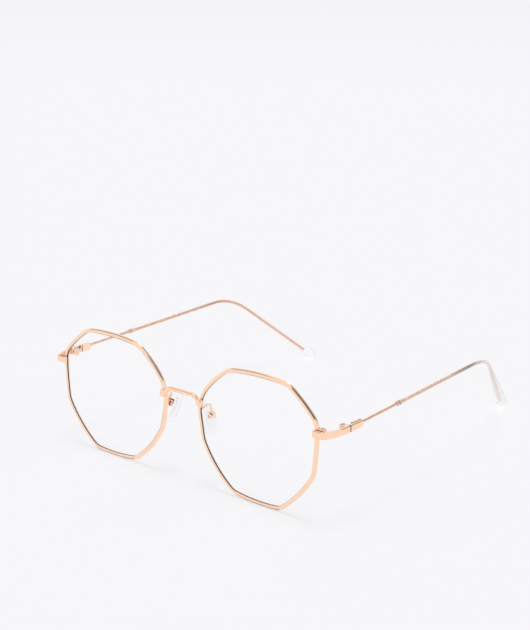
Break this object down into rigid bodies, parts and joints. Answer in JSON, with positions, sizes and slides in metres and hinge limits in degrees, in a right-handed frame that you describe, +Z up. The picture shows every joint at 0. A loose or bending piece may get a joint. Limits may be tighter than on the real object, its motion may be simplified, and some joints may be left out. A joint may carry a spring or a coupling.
{
  "type": "wire-frame eyeglasses",
  "caption": "Thin wire eyeglasses with eight-sided rims, clear lenses, hinged wire temples and rocking nose pads.",
  "frame": {"origin": "centre of the overall box at the level of the surface that the glasses stand on", "axes": "+X towards the wearer's left, +Y back along the temples, +Z up"},
  "size_m": [0.1364, 0.1494, 0.0497],
  "materials": {
    "rose_metal": "polished rose-gold plating",
    "screw_metal": "polished rose-gold plating",
    "clear_lens": "clear, polished",
    "clear_sleeve": "clear, smooth, soft",
    "pad_core": "clear, smooth",
    "soft_pad": "clear, smooth, soft"
  },
  "bodies": {
    "front": {"bridge": "rose_metal", "left_rim": "rose_metal", "left_lens": "clear_lens", "left_endpiece": "rose_metal", "left_upper_rim_lock": "rose_metal", "left_lower_rim_lock": "rose_metal", "left_lock_screw": "screw_metal", "left_hinge_screw": "screw_metal", "left_pad_arm": "rose_metal", "left_pad_screw": "screw_metal", "right_rim": "rose_metal", "right_lens": "clear_lens", "right_endpiece": "rose_metal", "right_upper_rim_lock": "rose_metal", "right_lower_rim_lock": "rose_metal", "right_lock_screw": "screw_metal", "right_hinge_screw": "screw_metal", "right_pad_arm": "rose_metal", "right_pad_screw": "screw_metal"},
    "left_temple": {"left_temple_block": "rose_metal", "left_temple_wire": "rose_metal", "left_collar_bead": "rose_metal", "left_temple_sleeve": "clear_sleeve"},
    "left_pad": {"left_pad_core": "pad_core", "left_nose_pad": "soft_pad"},
    "right_temple": {"right_temple_block": "rose_metal", "right_temple_wire": "rose_metal", "right_collar_bead": "rose_metal", "right_temple_sleeve": "clear_sleeve"},
    "right_pad": {"right_pad_core": "pad_core", "right_nose_pad": "soft_pad"}
  },
  "joints": [
    {"name": "left_temple_fold", "type": "hinge", "parent": "front", "child": "left_temple", "pos_m": [0.0653, -0.06341, 0.03373], "axis": [0, 0, 1], "range_deg": [0, 85]},
    {"name": "right_temple_fold", "type": "hinge", "parent": "front", "child": "right_temple", "pos_m": [-0.0653, -0.06341, 0.03373], "axis": [0, 0, -1], "range_deg": [0, 75]},
    {"name": "left_pad_rock", "type": "hinge", "parent": "front", "child": "left_pad", "pos_m": [0.0105, -0.06801, 0.02653], "axis": [0.4226, 0.9063, 0], "range_deg": [-8, 8]},
    {"name": "right_pad_rock", "type": "hinge", "parent": "front", "child": "right_pad", "pos_m": [-0.0105, -0.06801, 0.02653], "axis": [-0.4226, 0.9063, 0], "range_deg": [-8, 8]}
  ]
}
